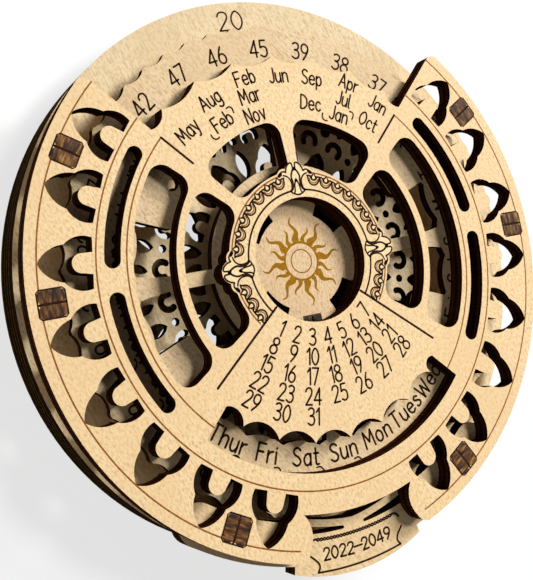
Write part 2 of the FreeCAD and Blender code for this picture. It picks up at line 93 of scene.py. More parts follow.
def table_sheet():
    """White sheet that glows only where the camera sees it, straight or mirrored."""
    material, tree, out = shader_tree("table_white")
    seen_by = part_in(tree, "ShaderNodeLightPath").outputs
    straight = part_in(tree, "ShaderNodeMath", {0: seen_by["Is Camera Ray"], 1: seen_by["Is Glossy Ray"]},
                       operation="MAXIMUM")
    share = part_in(tree, "ShaderNodeMath", {0: straight.outputs[0], 1: table_glow}, operation="MULTIPLY")
    plain = part_in(tree, "ShaderNodeBsdfDiffuse", {"Color": table_white})
    glow = part_in(tree, "ShaderNodeEmission", {"Color": (1, 1, 1, 1), "Strength": 1.0})
    mixed = part_in(tree, "ShaderNodeMixShader", {0: share.outputs[0], 1: plain.outputs[0],
                                                  2: glow.outputs[0]})
    tree.links.new(mixed.outputs[0], out.inputs["Surface"])
    corners = [(-table_half, -table_half), (table_half, -table_half),
               (table_half, table_half), (-table_half, table_half)]
    mesh = bpy.data.meshes.new("table")
    mesh.from_pydata([(x, y, -table_drop) for x, y in corners], [], [(0, 1, 2, 3)])
    mesh.materials.append(material)
    table = bpy.data.objects.new("table", mesh)
    bpy.context.scene.collection.objects.link(table)


table_sheet()

# Lamps. Even light from the room, a low and a high soft window to the right of
# the face and above it, and a weak one to its left. Together they light a colour
# about as it is written, and leave the deep windows of the face dark.
room_light = 0.05
lamps = {
    "window_low": ((1.56, 1.10, 1.45), 0.80, 53.0),
    "window_high": ((1.30, 0.46, 1.97), 0.50, 31.5),
    "window_left": ((-0.95, -0.10, 0.66), 0.70, 2.2),
}


def light_the_room():
    """Weak even light, white to the camera and in reflections, and the three lamps."""
    world = bpy.data.worlds.new("room")
    world.use_nodes = True
    tree = world.node_tree
    seen_by = part_in(tree, "ShaderNodeLightPath").outputs
    straight = part_in(tree, "ShaderNodeMath", {0: seen_by["Is Camera Ray"], 1: seen_by["Is Glossy Ray"]},
                       operation="MAXIMUM")
    level = part_in(tree, "ShaderNodeMath", {0: straight.outputs[0], 1: room_light}, operation="MAXIMUM")
    sky = tree.nodes["Background"]
    sky.inputs["Color"].default_value = (1, 1, 1, 1)
    tree.links.new(level.outputs[0], sky.inputs["Strength"])
    bpy.context.scene.world = world
    for name, (place, size, power) in lamps.items():
        lamp = bpy.data.lights.new(name, "AREA")
        lamp.shape = "DISK"
        lamp.size = size
        lamp.energy = power
        holder = bpy.data.objects.new(name, lamp)
        aim = (-Vector(place)).to_track_quat("-Z", "Y").to_matrix().to_4x4()
        holder.matrix_world = Matrix.Translation(place) @ aim
        bpy.context.scene.collection.objects.link(holder)


light_the_room()
bpy.context.scene.view_settings.view_transform = "Standard"

# Back drum. Five sheets of birch plywood glued in a stack: a back sheet with
# six petals, three rings with a core of three discs, and the sheet that stands
# behind the years. The laser leaves every cut wall dark brown.
sheet = 3 * mm
drum_nodes = ["back_panel", "drum_ring_lower", "drum_ring_middle", "drum_ring_upper",
              "core_disc_lower", "core_disc_middle", "core_disc_upper"]


def colour(code):
    """Linear colour of a screen colour given as six hex digits: each channel c
    becomes c / 12.92 when small and ((c + 0.055) / 1.055) to the power 2.4."""
    c = np.array([int(code[i:i + 2], 16) for i in (0, 2, 4)]) / 255
    linear = np.where(c <= 0.04045, c / 12.92, ((c + 0.055) / 1.055) ** 2.4)
    return (*[float(v) for v in linear], 1.0)


def ramp(tree, factor, stops):
    """Colour ramp from a list of place and colour."""
    node = part_in(tree, "ShaderNodeValToRGB", {"Fac": factor})
    band = node.color_ramp
    while len(band.elements) < len(stops):
        band.elements.new(0.5)
    for element, (place, shade) in zip(band.elements, stops):
        element.position = place
        element.color = colour(shade)
    return node.outputs["Color"]


def birch_ply(name, pale, warm, pore, burnt, core, foot, grain, length):
    """Laser-cut birch plywood. The faces carry specks and fibres drawn out along
    the grain by the length, over wide warm clouds. The walls are burnt and show the
    sheet's layers by their height above the stack's foot, with upright striations
    from the laser. Walls and faces part where the normal is level."""
    material, tree, out = shader_tree(name)
    spot = part_in(tree, "ShaderNodeTexCoord").outputs

    def noise(scale, detail, roughness, stretch):
        """Noise drawn out by the stretch along the grain."""
        placed = part_in(tree, "ShaderNodeMapping", {"Vector": spot["Object"], "Rotation": (0, 0, grain),
                                                     "Scale": stretch}, vector_type="TEXTURE")
        return part_in(tree, "ShaderNodeTexNoise", {
            "Vector": placed.outputs[0], "Scale": scale, "Detail": detail,
            "Roughness": roughness}).outputs["Fac"]

    def mix(share, first, second):
        node = part_in(tree, "ShaderNodeMix", {0: share, 6: first, 7: second}, data_type="RGBA")
        return node.outputs[2]

    def maths(kind, first, second):
        return part_in(tree, "ShaderNodeMath", {0: first, 1: second}, operation=kind).outputs[0]

    speck = noise(1250, 3, 0.6, (1.5, 1, 1))
    fibre = noise(2300, 2, 0.5, (length, 1, 1))
    cloud = noise(48, 3, 0.55, (1.8, 1, 1))
    tone = maths("ADD", maths("MULTIPLY", speck, 0.55), maths("MULTIPLY", fibre, 0.45))
    wood = ramp(tree, tone, [(0.33, pore), (0.45, warm), (0.56, pale), (0.75, pale)])
    warmth = ramp(tree, cloud, [(0.38, "000000"), (0.68, "FFFFFF")])
    wood = mix(maths("MULTIPLY", warmth, 0.55), wood, colour(warm))
    height = part_in(tree, "ShaderNodeSeparateXYZ", {0: spot["Object"]}).outputs[2]
    layer = maths("FRACT", maths("DIVIDE", maths("SUBTRACT", height, foot), sheet), 0)
    streaks = noise(1600, 3, 0.6, (1, 1, 8))
    dark = ramp(tree, layer, [(0.0, "0A0604"), (0.05, burnt), (0.30, burnt), (0.36, core), (0.62, core),
                              (0.68, burnt), (0.95, burnt), (1.0, "0A0604")])
    streak_share = ramp(tree, streaks, [(0.35, "000000"), (0.65, "FFFFFF")])
    walls = mix(streak_share, mix(0.6, dark, colour("0E0805")), dark)
    level = part_in(tree, "ShaderNodeSeparateXYZ", {0: spot["Normal"]}).outputs[2]
    is_wall = maths("LESS_THAN", maths("ABSOLUTE", level, 0), 0.5)
    surface = part_in(tree, "ShaderNodeBsdfPrincipled", {
        "Base Color": mix(is_wall, wood, walls),
        "Roughness": 0.7,
        "Specular IOR Level": maths("SUBTRACT", 0.4, maths("MULTIPLY", is_wall, 0.4)),
        "Normal": part_in(tree, "ShaderNodeBump", {"Height": tone, "Strength": 0.2,
                                                   "Distance": 0.04 * mm}).outputs[0],
    })
    tree.links.new(surface.outputs[0], out.inputs["Surface"])
    return material


def dress(nodes, material):
    """Gives the CAD pieces their material."""
    for node in nodes:
        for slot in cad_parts[node].material_slots:
            slot.material = material


dress(drum_nodes, birch_ply(
    "drum_birch", pale="CDAE7E", warm="B99564", pore="967346", burnt="2A1A0E", core="5E4A28",
    foot=0, grain=1.9, length=5))

# Year backdrop. The top sheet of the drum: straight-grained birch that shows
# beyond the wheel, with the century's "20" burnt into it at the top.
backdrop_grain = math.radians(108)
dress(["year_backdrop"], birch_ply(
    "backdrop_birch", pale="E4CFA6", warm="D3B88D", pore="B2946A", burnt="2A170C", core="452A16",
    foot=12 * mm, grain=backdrop_grain, length=9))
backdrop_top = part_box("year_backdrop")[1][2]
burnt_stroke = 0.66 * mm
stroke_lift = 0.035 * mm
stroke_root = 0.02 * mm
century = "20"
century_height = 6.4 * mm
century_radius = 83.2 * mm
century_angle = -2.7
century_spread = 1.2
sign_gap = 0.17

# Pen strokes of each sign, in shares of its height. A point given twice is a
# corner, and the curve runs smoothly through the others.
sign_shares = {
    "0": [[(.26, 1), (.07, .8), (0, .5), (.07, .2), (.26, 0), (.45, .2), (.52, .5), (.45, .8), (.26, 1)]],
    "1": [[(0, .76), (.2, 1), (.2, 1), (.2, 0)]],
    "2": [[(.02, .78), (.1, .94), (.26, 1), (.43, .93), (.48, .74), (.38, .5), (.02, 0), (.02, 0), (.5, 0)]],
    "3": [[(.03, .9), (.2, 1), (.4, .93), (.44, .76), (.35, .59), (.16, .54), (.16, .54), (.4, .48),
           (.48, .28), (.4, .07), (.2, 0), (0, .1)]],
    "4": [[(.4, 0), (.4, 1), (.4, 1), (0, .27), (0, .27), (.54, .27)]],
    "5": [[(.44, 1), (.08, 1), (.08, 1), (.04, .56), (.04, .56), (.22, .63), (.42, .55), (.48, .32),
           (.4, .08), (.2, 0), (0, .1)]],
    "6": [[(.36, 1), (.14, .66), (.02, .32), (.08, .08), (.26, 0), (.44, .08), (.5, .3), (.42, .5),
           (.24, .57), (.08, .48), (.02, .32)]],
    "7": [[(0, 1), (.47, 1), (.47, 1), (.15, 0)]],
    "8": [[(.25, .55), (.07, .66), (.05, .87), (.25, 1), (.45, .87), (.43, .66), (.25, .55), (.04, .42),
           (0, .2), (.11, .04), (.25, 0), (.39, .04), (.5, .2), (.46, .42), (.25, .55)]],
}
sign_shares["9"] = [[(.5 - x, 1 - y) for x, y in sign_shares["6"][0]]]


def smooth_path(points, steps=5):
    """Spline through the points. Between two of them, with the neighbours p0 and
    p3, it is half of 2 p1 + (p2 - p0) t + (2 p0 - 5 p1 + 4 p2 - p3) t squared +
    (3 p1 - p0 - 3 p2 + p3) t cubed. A run of only two points stays straight."""
    runs = [[points[0]]]
    for before, here in zip(points, points[1:]):
        if here == before:
            runs.append([here])
        else:
            runs[-1].append(here)
    path = []
    for run in runs:
        p = np.array(run, float)
        if len(p) < 2:
            continue
        if len(p) > 2:
            closed = np.allclose(p[0], p[-1])
            ahead = p[1] if closed else 2 * p[-1] - p[-2]
            behind = p[-2] if closed else 2 * p[0] - p[1]
            q = np.vstack([behind, p, ahead])
            t = np.linspace(0, 1, steps, endpoint=False)[None, :, None]
            a, b, c, d = (q[i:len(q) - 3 + i, None, :] for i in range(4))
            curve = (2 * b + (c - a) * t + (2 * a - 5 * b + 4 * c - d) * t ** 2
                     + (3 * b - a - 3 * c + d) * t ** 3) / 2
            p = np.vstack([curve.reshape(-1, 2), p[-1]])
        path.append(p)
    return path


def skin(rings, around=False):
    """Closed skin over a row of rings of points: quads between neighbouring rings,
    and a cap at each end unless the row runs around to its start."""
    count, size = rings.shape[:2]
    if around:
        first = np.arange(count)
        after = (first + 1) % count
    else:
        first = np.arange(count - 1)
        after = first + 1
    k = np.arange(size)
    near, far = first[:, None] * size, after[:, None] * size
    beyond = (k + 1) % size
    quads = np.stack([near + k, near + beyond, far + beyond, far + k], -1).reshape(-1, 4).tolist()
    caps = [] if around else [k[::-1].tolist(), (k + (count - 1) * size).tolist()]
    return rings.reshape(-1, 3), quads + caps


def pen_line(path, width, floor, around=False, lift=stroke_lift):
    """Flat bead of ink along a path on a plane at height floor. Each ring has its
    foot a little under the plane and its top at the lift over it, at half the width
    on either side of the path. An open line runs on for 0.4 of its width at each
    end, where it narrows to 0.45 of it."""
    path = np.asarray(path, float)
    width = np.broadcast_to(width, len(path)).astype(float)
    if around:
        ahead = np.roll(path, -1, 0) - np.roll(path, 1, 0)
    else:
        out = path[[0, -1]] - path[[1, -2]]
        out /= np.linalg.norm(out, axis=1)[:, None] + 1e-12
        ends = path[[0, -1]] + out * width[[0, -1], None] * 0.4
        path = np.vstack([ends[:1], path, ends[1:]])
        width = np.concatenate([[width[0] * 0.45], width, [width[-1] * 0.45]])
        ahead = np.gradient(path, axis=0)
    ahead /= np.linalg.norm(ahead, axis=1)[:, None] + 1e-12
    side = np.stack([-ahead[:, 1], ahead[:, 0]], 1) * width[:, None] / 2
    corners = [(1.0, -stroke_root), (0.86, lift), (-0.86, lift), (-1.0, -stroke_root)]
    rings = np.stack([np.column_stack([path + side * share, np.full(len(path), floor + rise)])
                      for share, rise in corners], 1)
    return skin(rings, around)


def written(text, height, spread, gap, radius, angle, floor, inward=False, bent=False, width=burnt_stroke):
    """Signs written on the disc. The text's middle lies at the radius and the angle,
    with its top outwards, or inwards. Straight text follows the tangent there; bent
    text gives each sign its own angle, which is its distance divided by the radius."""
    signs = [(sign_shares[sign], max(x for stroke in sign_shares[sign] for x, _ in stroke)) for sign in text]
    total = sum(wide for _, wide in signs) + gap * (len(signs) - 1)
    turn = -1 if inward else 1
    shells, reached = [], -total / 2
    for strokes, wide in signs:
        middle = (reached + wide / 2) * height * spread
        here = math.radians(angle) + (turn * middle / radius if bent else 0)
        out = np.array([math.sin(here), math.cos(here)]) * turn
        right = np.array([math.cos(here), -math.sin(here)]) * turn
        start = reached * height * spread - (middle if bent else 0)
        for stroke in strokes:
            for path in smooth_path(stroke):
                across = start + path[:, :1] * height * spread
                up = (path[:, 1:] - 0.5) * height
                shells.append(pen_line(out * turn * radius + right * across + out * up, width, floor))
        reached += wide + gap
    return shells


def piece_of(name, shells, material, body):
    """One piece made of closed shells. Its normals are made to point outwards."""
    starts = np.cumsum([0] + [len(points) for points, _ in shells[:-1]])
    points = np.vstack([points for points, _ in shells])
    faces = [[i + int(start) for i in face] for (_, rows), start in zip(shells, starts) for face in rows]
    mesh = bpy.data.meshes.new(name)
    mesh.from_pydata(points.tolist(), [], faces)
    mesh.materials.append(material)
    piece = bpy.data.objects.new(name, mesh)
    bpy.context.scene.collection.objects.link(piece)
    shape = bmesh.new()
    shape.from_mesh(mesh)
    bmesh.ops.recalc_face_normals(shape, faces=shape.faces)
    shape.to_mesh(mesh)
    shape.free()
    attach(piece, body)
    return piece


def burnt_ink(name, deep, brown):
    """Colour of a line burnt by the laser: two browns in fine blotches, without gloss."""
    material, tree, out = shader_tree(name)
    spot = part_in(tree, "ShaderNodeTexCoord").outputs["Object"]
    blotch = part_in(tree, "ShaderNodeTexNoise", {"Vector": spot, "Scale": 1400.0,
                                                  "Detail": 3.0}).outputs["Fac"]
    surface = part_in(tree, "ShaderNodeBsdfPrincipled", {
        "Base Color": ramp(tree, blotch, [(0.35, deep), (0.68, brown)]), "Roughness": 0.9,
        "Specular IOR Level": 0.1})
    tree.links.new(surface.outputs[0], out.inputs["Surface"])
    return material


dark_ink = burnt_ink("burnt_black_brown", "170B05", "3C2110")
brown_ink = burnt_ink("scorched_brown", "7A4519", "A36A30")
century_shells = written(century, century_height, century_spread, sign_gap, century_radius, century_angle,
                         backdrop_top)
piece_of("century_numerals", century_shells, dark_ink, "case")

# Calendar wheel. One sheet behind the face. Its outer band carries 28 years and
# the band inside it the weekdays, four times round; leap years stand in brackets.
dress(["calendar_wheel"], birch_ply(
    "wheel_birch", pale="E2C9A0", warm="D2B284", pore="B18E62", burnt="2E170C", core="4A2A16",
    foot=21.1 * mm, grain=2.2, length=4))
wheel_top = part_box("calendar_wheel")[1][2]
year_pitch = 360 / 28
years_anticlockwise = [
    45, 46, 47, 42, 26, 27, 22, 23, 29, 24, 25, 48, 32, 33,
    28, 35, 30, 31, 43, 49, 44, 34, 40, 41, 36, 37, 38, 39]
weekdays_clockwise = ["Sat", "Fri", "Thur", "Wed", "Tues", "Mon", "Sun"]
year_height = 5.5 * mm
year_radius = 70.2 * mm
year_offset = -0.5
year_spread = 0.95
year_stroke = 0.7 * mm
weekday_height = 5.2 * mm
weekday_radius = 60.1 * mm
weekday_offset = -1.5
weekday_stroke = 0.78 * mm
weekday_spread = 1.12
weekday_gap = 0.2
thin_stroke = burnt_stroke * 0.85
letter_shares = {
    "A": [[(0, 0), (.27, 1), (.27, 1), (.54, 0)], [(.1, .34), (.44, .34)]],
    "D": [[(0, 0), (0, 1), (0, 1), (.26, .95), (.45, .76), (.5, .5), (.45, .24), (.26, .05), (0, 0)]],
    "F": [[(.42, 1), (0, 1), (0, 1), (0, 0)], [(0, .53), (.34, .53)]],
    "J": [[(.34, 1), (.34, .25), (.27, .05), (.13, 0), (0, .12)]],
    "M": [[(0, 0), (.06, 1), (.06, 1), (.31, .32), (.31, .32), (.56, 1), (.56, 1), (.62, 0)]],
    "N": [[(0, 0), (0, 1), (0, 1), (.46, 0), (.46, 0), (.46, 1)]],
    "O": [[(.27, 1), (.07, .8), (0, .5), (.07, .2), (.27, 0), (.47, .2), (.54, .5), (.47, .8), (.27, 1)]],
    "S": [[(.43, .87), (.3, .99), (.13, .97), (.03, .8), (.12, .6), (.33, .46), (.45, .26), (.37, .05),
           (.18, 0), (0, .13)]],
    "T": [[(0, 1), (.5, 1)], [(.25, 1), (.25, 0)]],
    "W": [[(0, 1), (.17, 0), (.17, 0), (.37, .8), (.37, .8), (.57, 0), (.57, 0), (.74, 1)]],
    "a": [[(.4, .48), (.28, .65), (.1, .58), (0, .32), (.09, .05), (.26, .02), (.4, .22)],
          [(.4, .66), (.4, 0)]],
    "b": [[(0, 1), (0, 0)], [(0, .42), (.13, .63), (.3, .6), (.4, .33), (.31, .06), (.14, .02), (0, .2)]],
    "c": [[(.37, .54), (.22, .66), (.06, .56), (0, .33), (.06, .1), (.22, 0), (.37, .12)]],
    "d": [[(.4, .48), (.28, .65), (.1, .58), (0, .32), (.09, .05), (.26, .02), (.4, .22)],
          [(.4, 1), (.4, 0)]],
    "e": [[(.02, .35), (.41, .35), (.41, .35), (.37, .57), (.2, .66), (.04, .54), (0, .3), (.08, .07),
           (.24, 0), (.4, .11)]],
    "g": [[(.4, .48), (.28, .65), (.1, .58), (0, .32), (.09, .08), (.26, .05), (.4, .22)],
          [(.4, .66), (.4, -.1), (.32, -.28), (.16, -.32), (.02, -.22)]],
    "h": [[(0, 1), (0, 0)], [(0, .42), (.1, .6), (.24, .66), (.36, .57), (.39, .4), (.39, 0)]],
    "i": [[(0, .66), (0, 0)], [(0, .86), (0, .9)]],
    "l": [[(0, 1), (0, .14), (.09, 0)]],
    "n": [[(0, .66), (0, 0)], [(0, .42), (.1, .6), (.24, .66), (.36, .57), (.39, .4), (.39, 0)]],
    "o": [[(.2, .66), (.05, .55), (0, .33), (.05, .11), (.2, 0), (.36, .11), (.41, .33), (.36, .55),
           (.2, .66)]],
    "p": [[(0, .66), (0, -.3)], [(0, .42), (.13, .63), (.3, .6), (.4, .33), (.31, .06), (.14, .02), (0, .2)]],
    "r": [[(0, .66), (0, 0)], [(0, .38), (.1, .58), (.28, .65)]],
    "s": [[(.32, .55), (.19, .66), (.05, .6), (.05, .46), (.25, .31), (.33, .16), (.24, .02), (.09, 0),
           (0, .1)]],
    "t": [[(.11, .95), (.11, .16), (.17, .02), (.28, .03)], [(0, .66), (.27, .66)]],
    "u": [[(0, .66), (0, .22), (.08, .04), (.2, 0), (.33, .12), (.39, .28)], [(.39, .66), (.39, 0)]],
    "v": [[(0, .66), (.19, 0), (.19, 0), (.38, .66)]],
    "y": [[(0, .66), (.2, .05)], [(.42, .66), (.17, -.16), (.07, -.3), (-.03, -.3)]],
}
sign_shares.update(letter_shares)
bracket_left = [(-5.0, -6.6), (-6.5, -6.8), (-7.5, -5.6), (-7.9, -3.0), (-7.9, 0.0), (-7.4, 2.4), (-6.4, 3.2)]
bracket_right = [(8.8, -7.3), (7.4, -7.1), (6.3, -5.3), (6.9, -2.6), (7.1, 0.0), (6.7, 2.4), (5.7, 3.2)]


def beside(points, radius, angle):
    """Points in millimetres, given to the right of a place on the disc and outwards
    from it, as seen with the place's outward direction up."""
    here = math.radians(angle)
    out = np.array([math.sin(here), math.cos(here)])
    right = np.array([math.cos(here), -math.sin(here)])
    points = np.asarray(points, float) * mm
    return out * radius + points[:, :1] * right + points[:, 1:] * out


def wheel_writing():
    """All years and weekdays, at one place for each of the 28 clicks of a turn."""
    shells = []
    for index, year in enumerate(years_anticlockwise):
        angle = -index * year_pitch
        shells += written(str(year), year_height, year_spread, sign_gap, year_radius, angle + year_offset,
                          wheel_top, width=year_stroke)
        if year % 4 == 0:
            for shape in (bracket_left, bracket_right):
                path = beside(smooth_path(shape)[0], year_radius, angle)
                shells.append(pen_line(path, thin_stroke, wheel_top))
        day = weekdays_clockwise[(13 - index) % 7]
        shells += written(day, weekday_height, weekday_spread, weekday_gap, weekday_radius,
                          angle + weekday_offset, wheel_top, inward=True, bent=True, width=weekday_stroke)
    return shells


piece_of("wheel_lettering", wheel_writing(), dark_ink, "wheel")

# Hub. The sun disc sits on two risers at the bottom of the well, and a key of two
# plies locks it to the back. An ochre sun with sixteen waving rays is engraved on
# it, and a dark line along its four slots' outer edge, at the foot of the well's
# wall, is painted shade.
dress(["sun_disc", "hub_riser_lower", "hub_riser_upper"], birch_ply(
    "hub_birch", pale="E2C49A", warm="D2AE80", pore="B28C62", burnt="2A160C", core="452816",
    foot=0, grain=1.4, length=3))
sun_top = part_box("sun_disc")[1][2]
sun_body_inner = 5.6 * mm
sun_body_outer = 6.4 * mm
sun_ring_radius = 3.7 * mm
long_ray = [(-0.75, 6.9, 2.9), (-0.65, 7.5, 2.35), (-0.25, 8.4, 1.95), (0.0, 9.3, 1.55), (-0.45, 10.4, 1.1),
            (-1.35, 11.5, 0.9), (-1.85, 12.4, 0.72), (-1.7, 13.3, 0.55), (-1.1, 14.3, 0.22)]
short_ray = [(-0.45, 6.5, 1.7), (-0.65, 7.1, 1.35), (-0.3, 8.1, 1.05), (0.5, 9.2, 0.85), (0.85, 10.1, 0.62),
             (0.5, 11.1, 0.22)]
ray_pitch = 45
short_ray_turn = 20.0
slot_shade_radius = 19.55 * mm
slot_middles = [45, 135, 225, 315]
slot_half_angle = 17.5
slot_shade_width = 0.5 * mm
sun_ring_width = 0.42 * mm
long_ray_lift = stroke_lift * 1.2
short_ray_lift = stroke_lift * 1.4
ring_step = 28


def flame(ray, angle, lift):
    """A waving ray. Its list gives the places beside the axis and along it, and the
    width at each; a spline joins them all alike."""
    across_along, width = [[(x, y) for x, y, _ in ray], [(w, w) for _, _, w in ray]]
    path = smooth_path(across_along)[0]
    widths = smooth_path(width)[0][:, 0] * mm
    return pen_line(beside(path, 0, angle), widths, sun_top, lift=lift)


def ring_line(radius, width, floor, start=0, end=360):
    """Line around the centre, closed where it is a whole circle. It has a point for
    each ring step of its turn in degrees times its radius in millimetres."""
    whole = end - start >= 360
    count = max(8, int(abs(end - start) * radius / mm / ring_step))
    angles = np.radians(np.linspace(start, end, count, endpoint=not whole))
    path = np.stack([np.sin(angles), np.cos(angles)], 1) * radius
    return pen_line(path, width, floor, around=whole)


def sun_shells():
    """The sun's ring with eight long and eight short rays, each kind at its own lift."""
    middle = (sun_body_inner + sun_body_outer) / 2
    shells = [ring_line(middle, sun_body_outer - sun_body_inner, sun_top)]
    for index in range(8):
        shells.append(flame(long_ray, index * ray_pitch, long_ray_lift))
        shells.append(flame(short_ray, index * ray_pitch + short_ray_turn, short_ray_lift))
    return shells


# Painted shade: a dark line along each slot's outer edge, at the foot of the well's wall.
slot_shades = [ring_line(slot_shade_radius, slot_shade_width, sun_top, middle - slot_half_angle,
                      middle + slot_half_angle) for middle in slot_middles]
piece_of("slot_edge_painted_shade", slot_shades, dark_ink, "case")
piece_of("sun_motif", sun_shells(), burnt_ink("ochre_engraving", "8C5F08", "A57414"), "case")
piece_of("sun_circle", [ring_line(sun_ring_radius, sun_ring_width, sun_top)],
         burnt_ink("ochre_line", "7C541E", "9A7034"), "case")

# Tag. Two plies that hang below the rim, with the years that the calendar
# covers, a rope line and a frame burnt into the front one.
tag_ply = birch_ply(
    "tag_birch", pale="EAD0A2", warm="DAB886", pore="B8925F", burnt="2E180D", core="4A2C16",
    foot=18.4 * mm, grain=2.3, length=5)
dress(["tag_front_ply", "tag_rear_ply"], tag_ply)
tag_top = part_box("tag_front_ply")[1][2]
tag_middle = 180
tag_text_radius = 88.8 * mm
tag_text_height = 3.5 * mm
tag_text_spread = 1.22
tag_text_gap = 0.16
tag_years = [("2022", 4.55), ("2049", -4.4)]
tag_dash = [(1.5, 0.1), (-1.5, 0.1)]
frame_radius = 93.9 * mm
frame_half_angle = 9.4
frame_stroke = 0.65 * mm
side_stroke = 0.7 * mm
frame_side = [(93.9, 9.4), (92.5, 9.0), (91.2, 9.25), (89.9, 10.2), (89.1, 10.9)]
rope_radius = 84.5 * mm
rope_half_angle = 9.5
rope_wave = 0.34 * mm
rope_stroke = 0.55 * mm
rope_turns = 12
rope_hook = [(84.3, 9.3), (84.4, 10.0), (84.9, 10.7), (86.0, 11.1)]


def on_tag(points, side):
    """Points given by radius in millimetres and angle from the tag's middle."""
    radius, turn = np.array(points).T
    angle = np.radians(tag_middle + side * turn)
    return np.stack([np.sin(angle), np.cos(angle)], 1) * radius[:, None] * mm


def tag_shells():
    """The rope is two sine waves of opposite sign around the same circle."""
    shells = []
    for text, turn in tag_years:
        shells += written(text, tag_text_height, tag_text_spread, tag_text_gap, tag_text_radius,
                          tag_middle + turn, tag_top, inward=True)
    shells.append(pen_line(beside(tag_dash, tag_text_radius, tag_middle), burnt_stroke, tag_top))
    shells.append(ring_line(frame_radius, frame_stroke, tag_top, tag_middle - frame_half_angle,
                            tag_middle + frame_half_angle))
    for side in (1, -1):
        for points in (frame_side, rope_hook):
            shells.append(pen_line(smooth_path(on_tag(points, side).tolist())[0], side_stroke, tag_top))
        phase = np.linspace(0, rope_turns * 2 * math.pi, rope_turns * 14 + 1)
        angles = np.radians(tag_middle + np.linspace(-rope_half_angle, rope_half_angle, len(phase)))
        path = np.stack([np.sin(angles), np.cos(angles)], 1)
        path = path * (rope_radius + side * rope_wave * np.sin(phase))[:, None]
        shells.append(pen_line(path, rope_stroke, tag_top))
    return shells


piece_of("tag_engraving", tag_shells(), dark_ink, "case")

# Face. Two plies with months round the top, dates in seven columns below, three
# thin scorched circles and four dark lines that part the fields.
face_ply = birch_ply(
    "face_birch", pale="EFD3A3", warm="E2BF8C", pore="C29A66", burnt="32190D", core="4E2C18",
    foot=24.4 * mm, grain=1.9, length=3)
dress(["face_plate", "face_backing"], face_ply)
face_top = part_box("face_plate")[1][2]
months = [("May", -37.5, 55.5), ("Aug", -25.0, 58.5), ("Feb", -25.3, 50.9), ("Feb", -10.7, 60.3),
          ("Mar", -11.3, 54.5), ("Nov", -11.9, 48.3), ("Jun", 1.0, 59.3), ("Sep", 13.0, 59.2),
          ("Dec", 12.6, 50.6), ("Apr", 26.4, 61.4), ("Jul", 25.7, 55.2), ("Jan", 25.0, 49.3),
          ("Jan", 38.3, 59.8), ("Oct", 37.5, 52.2)]
leap_months = [("Feb", -25.3, 50.9), ("Jan", 25.0, 49.3)]
leap_hooks = [[(-5.9, -1.6), (-5.8, -2.9), (-4.9, -3.7), (-3.8, -3.6)],
              [(3.7, 2.5), (4.7, 2.5), (5.3, 1.7), (5.1, 0.2)]]
month_height = 4.7 * mm
month_spread = 0.95
date_height = 5.0 * mm
date_spread = 0.9
date_first_radius = 24.2 * mm
date_row = 5.95 * mm
date_middle = 179.2
fine_line = 0.5 * mm
dark_line = 0.8 * mm
fan_angle = 129.3
fan_line_span = (19.9, 51)
month_line_angle = 45
month_line_span = (48.1, 60.5)


def face_writing():
    """Months, with hooks round the two of leap years, and the dates in seven columns."""
    shells = []
    for name, angle, radius in months:
        shells += written(name, month_height, month_spread, sign_gap, radius * mm, angle, face_top)
        if (name, angle, radius) in leap_months:
            for hook in leap_hooks:
                path = beside(smooth_path(hook)[0], radius * mm, angle)
                shells.append(pen_line(path, thin_stroke, face_top))
    for date in range(1, 32):
        row, column = divmod(date - 1, 7)
        angle = date_middle - (column - 3) * year_pitch
        radius = date_first_radius + row * date_row
        shells += written(str(date), date_height, date_spread, sign_gap, radius, angle, face_top,
                          inward=True)
    return shells


def spoke_line(angle, inner, outer):
    """Straight dark line along a radius."""
    return pen_line(beside([(0, inner), (0, outer)], 0, angle), dark_line, face_top)


field_lines = [spoke_line(*line) for line in (
    (month_line_angle, *month_line_span), (-month_line_angle, *month_line_span),
    (fan_angle, *fan_line_span), (-fan_angle, *fan_line_span))]
piece_of("face_lettering", face_writing() + field_lines, dark_ink, "case")
circles = [(86.4, 45, 164.6), (86.4, 195.4, 315), (69.6, 45, 315), (60.5, 45, 135), (60.5, 225, 315)]
circle_lines = [ring_line(radius * mm, fine_line, face_top, start, end) for radius, start, end in circles]
piece_of("face_circles", circle_lines, brown_ink, "case")

# Ornament ring. Between the well and the scalloped window edges runs a garland of
# small scallops with a pale drop in each, and three fleurs stand on it, at the top
# and both sides. Its lines and dark crescents are burnt into the face. The pale drops
# and the fleurs' pale fields are the face's birch made paler: painted highlight.
garland_radius = 25.75
garland_angles = [14.5, 24.5, 34.5, 45, 55, 65, 75.5, 104.5, 114.5, 124.5]
garland_joins = [19.5, 29.5, 39.75, 50, 60, 70.25, 109.5, 119.5]
garland_ends = [(9.2, 11.2), (78.6, 81.0), (99.0, 101.2), (127.6, 128.8)]
scallop_line = [(-2.15, 26.2), (-1.95, 25.2), (-1.35, 24.1), (0, 23.55), (1.35, 24.1), (1.95, 25.2),
                (2.15, 26.2)]
scallop_inner = [(-1.6, 25.7), (-1.3, 24.95), (-0.7, 24.4), (0, 24.25), (0.7, 24.4), (1.3, 24.95),
                 (1.6, 25.7)]
crescent = [(-1.75, 26.65), (-1.3, 25.85), (-0.9, 25.2), (0, 24.9), (0.9, 25.2), (1.3, 25.85), (1.75, 26.65),
            (1.1, 26.6), (0.6, 26.85), (0.25, 27.35), (-0.25, 27.35), (-0.6, 26.85), (-1.1, 26.6),
            (-1.75, 26.65)]
drop = [(0, 27.0), (0.22, 26.55), (0.48, 26.1), (0.4, 25.7), (0, 25.5), (-0.4, 25.7), (-0.48, 26.1),
        (-0.22, 26.55), (0, 27.0)]
fleur_angles = [-90, 0, 90]
